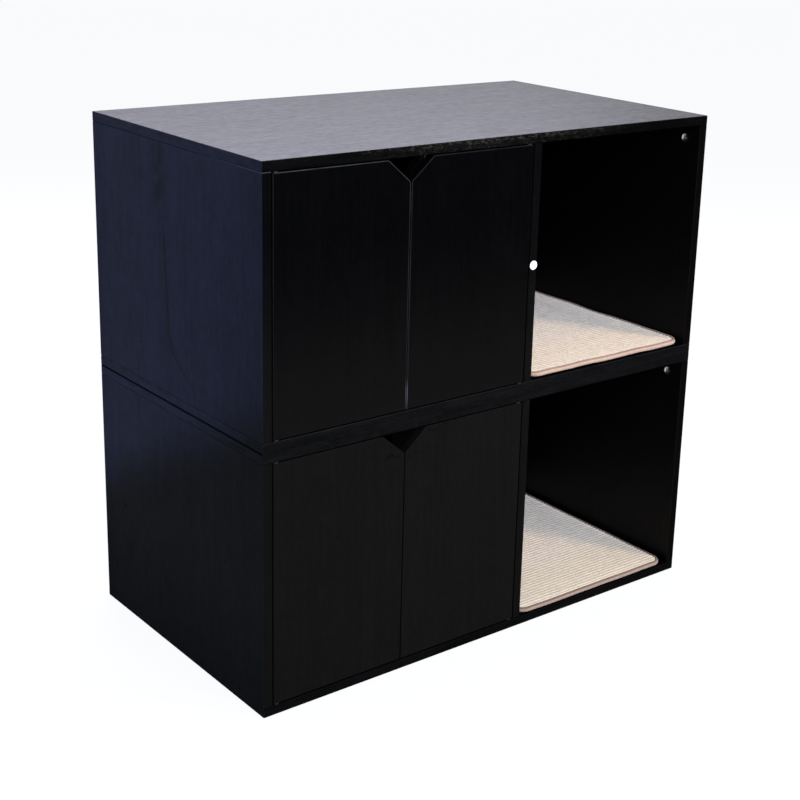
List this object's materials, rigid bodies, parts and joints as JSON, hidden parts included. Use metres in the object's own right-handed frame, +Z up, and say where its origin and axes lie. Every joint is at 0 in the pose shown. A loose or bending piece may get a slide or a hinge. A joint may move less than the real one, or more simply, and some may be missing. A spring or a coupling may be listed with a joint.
{
  "type": "cat litter box enclosure",
  "caption": "Stacked black cabinet that hides a litter box: litter compartments behind paired hinged doors, each joined by an arched doorway to an open bay with a carpet mat.",
  "frame": {"origin": "on the floor, at the middle of the outline", "axes": "+Z up, +X along the width towards the open bays, the doors face -Y"},
  "size_m": [0.854, 0.4836, 0.8103],
  "materials": {
    "black_board": "black melamine on particle board, embossed with a fine wood grain",
    "back_board": "thin hardboard, black face inwards",
    "steel": "zinc-plated steel",
    "zinc": "die-cast zinc, dull plated",
    "black_plastic": "moulded plastic, satin",
    "nylon": "moulded nylon",
    "ferrite": "ferrite block between steel pole plates",
    "white_plastic": "moulded plastic, smooth",
    "carpet": "ribbed beige carpet with a sewn tan binding"
  },
  "bodies": {
    "cabinet": {"lower_top_panel": "black_board", "lower_bottom_panel": "black_board", "lower_left_side_panel": "black_board", "lower_right_side_panel": "black_board", "lower_divider_panel": "black_board", "lower_back_panel": "back_board", "lower_left_side_front_cam_lock": "zinc", "lower_left_side_rear_cam_lock": "zinc", "lower_divider_front_cam_lock": "zinc", "lower_divider_rear_cam_lock": "zinc", "lower_right_side_front_cam_lock": "zinc", "lower_right_side_rear_cam_lock": "zinc", "lower_left_catch_housing": "black_plastic", "lower_right_catch_housing": "black_plastic", "lower_left_catch_magnet": "ferrite", "lower_right_catch_magnet": "ferrite", "lower_left_door_top_bush": "nylon", "lower_left_door_bottom_bush": "nylon", "lower_right_door_top_bush": "nylon", "lower_right_door_bottom_bush": "nylon", "upper_top_panel": "black_board", "upper_bottom_panel": "black_board", "upper_left_side_panel": "black_board", "upper_right_side_panel": "black_board", "upper_divider_panel": "black_board", "upper_back_panel": "back_board", "upper_divider_cover_cap": "white_plastic", "upper_left_side_front_cam_lock": "zinc", "upper_left_side_rear_cam_lock": "zinc", "upper_divider_front_cam_lock": "zinc", "upper_divider_rear_cam_lock": "zinc", "upper_right_side_front_cam_lock": "zinc", "upper_right_side_rear_cam_lock": "zinc", "upper_left_catch_housing": "black_plastic", "upper_right_catch_housing": "black_plastic", "upper_left_catch_magnet": "ferrite", "upper_right_catch_magnet": "ferrite", "upper_left_door_top_bush": "nylon", "upper_left_door_bottom_bush": "nylon", "upper_right_door_top_bush": "nylon", "upper_right_door_bottom_bush": "nylon"},
    "lower_left_door": {"lower_left_door_panel": "black_board", "lower_left_door_top_pin": "steel", "lower_left_door_bottom_pin": "steel", "lower_left_door_strike_plate": "steel"},
    "lower_right_door": {"lower_right_door_panel": "black_board", "lower_right_door_top_pin": "steel", "lower_right_door_bottom_pin": "steel", "lower_right_door_strike_plate": "steel"},
    "lower_carpet_mat": {"lower_mat": "carpet"},
    "upper_left_door": {"upper_left_door_panel": "black_board", "upper_left_door_top_pin": "steel", "upper_left_door_bottom_pin": "steel", "upper_left_door_strike_plate": "steel"},
    "upper_right_door": {"upper_right_door_panel": "black_board", "upper_right_door_top_pin": "steel", "upper_right_door_bottom_pin": "steel", "upper_right_door_strike_plate": "steel"},
    "upper_carpet_mat": {"upper_mat": "carpet"}
  },
  "joints": [
    {"name": "lower_left_door_hinge", "type": "hinge", "parent": "cabinet", "child": "lower_left_door", "pos_m": [-0.404, -0.23545, 0.2025], "axis": [0, 0, -1], "range_deg": [0, 110]},
    {"name": "lower_right_door_hinge", "type": "hinge", "parent": "cabinet", "child": "lower_right_door", "pos_m": [0.04, -0.23545, 0.2025], "axis": [0, 0, 1], "range_deg": [0, 110]},
    {"name": "lower_mat_slide", "type": "slide", "parent": "cabinet", "child": "lower_carpet_mat", "axis": [0, 1, 0], "range_m": [-0.5, 0]},
    {"name": "upper_left_door_hinge", "type": "hinge", "parent": "cabinet", "child": "upper_left_door", "pos_m": [-0.404, -0.23545, 0.6078], "axis": [0, 0, -1], "range_deg": [0, 110]},
    {"name": "upper_right_door_hinge", "type": "hinge", "parent": "cabinet", "child": "upper_right_door", "pos_m": [0.04, -0.23545, 0.6078], "axis": [0, 0, 1], "range_deg": [0, 110]},
    {"name": "upper_mat_slide", "type": "slide", "parent": "cabinet", "child": "upper_carpet_mat", "axis": [0, 1, 0], "range_m": [-0.5, 0]}
  ]
}
